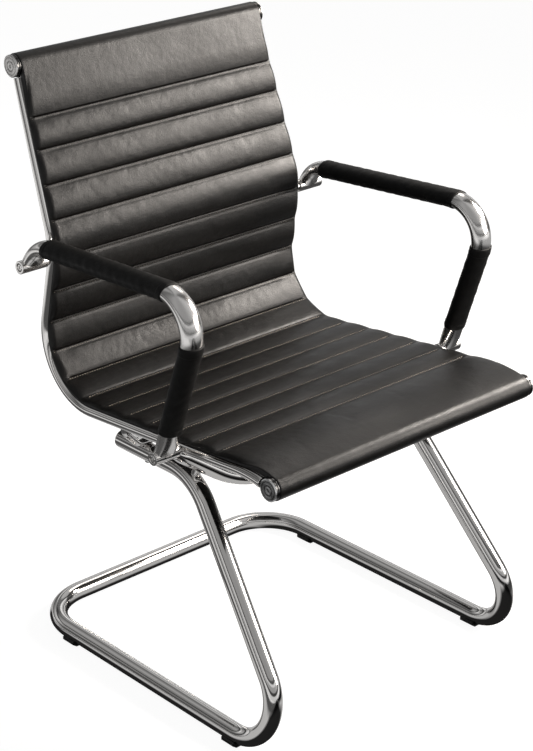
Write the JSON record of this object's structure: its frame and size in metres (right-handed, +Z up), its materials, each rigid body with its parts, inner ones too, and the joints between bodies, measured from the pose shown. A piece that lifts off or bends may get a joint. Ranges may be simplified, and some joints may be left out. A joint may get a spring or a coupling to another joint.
{
  "type": "sled base visitor chair",
  "caption": "Visitor chair with a ribbed black leather sling on bent chrome rails, loop arms with leather sleeves and a bent chrome sled tube.",
  "frame": {"origin": "on the floor, under the middle of the chair's box", "axes": "+Z up; the sitter faces -Y; the sitter's left is +X"},
  "size_m": [0.6072, 0.6002, 0.9051],
  "materials": {
    "sling_leather": "black fine-grained leather with a soft sheen and tone-on-tone stitching",
    "sleeve_leather": "matt black leather, slightly creased near its hems",
    "chrome": "bright chrome-plated steel",
    "satin_cap": "satin chrome-plated zinc with turned rings",
    "glide_plastic": "black moulded plastic"
  },
  "bodies": {
    "root": {"sling_pad": "sling_leather", "front_cross_tube": "chrome", "top_cross_tube": "chrome", "front_seat_stretcher": "chrome", "rear_seat_stretcher": "chrome", "back_stretcher": "chrome", "sled_tube": "chrome", "right_side_rail": "chrome", "left_side_rail": "chrome", "right_top_cap": "satin_cap", "left_top_cap": "satin_cap", "right_front_cap": "satin_cap", "left_front_cap": "satin_cap", "right_arm_frame": "chrome", "left_arm_frame": "chrome", "right_arm_top_sleeve": "sleeve_leather", "left_arm_top_sleeve": "sleeve_leather", "right_arm_front_sleeve": "sleeve_leather", "left_arm_front_sleeve": "sleeve_leather", "right_front_arm_washer": "chrome", "left_front_arm_washer": "chrome", "right_rear_arm_washer": "chrome", "left_rear_arm_washer": "chrome", "right_front_arm_bolt": "chrome", "left_front_arm_bolt": "chrome", "right_rear_arm_bolt": "chrome", "left_rear_arm_bolt": "chrome", "right_sled_plug": "chrome", "left_sled_plug": "chrome", "right_sled_post": "chrome", "left_sled_post": "chrome", "right_front_sled_bolt": "chrome", "left_front_sled_bolt": "chrome", "right_rear_sled_bolt": "chrome", "left_rear_sled_bolt": "chrome", "right_front_glide": "glide_plastic", "left_front_glide": "glide_plastic", "right_rear_glide": "glide_plastic", "left_rear_glide": "glide_plastic"}
  },
  "joints": []
}
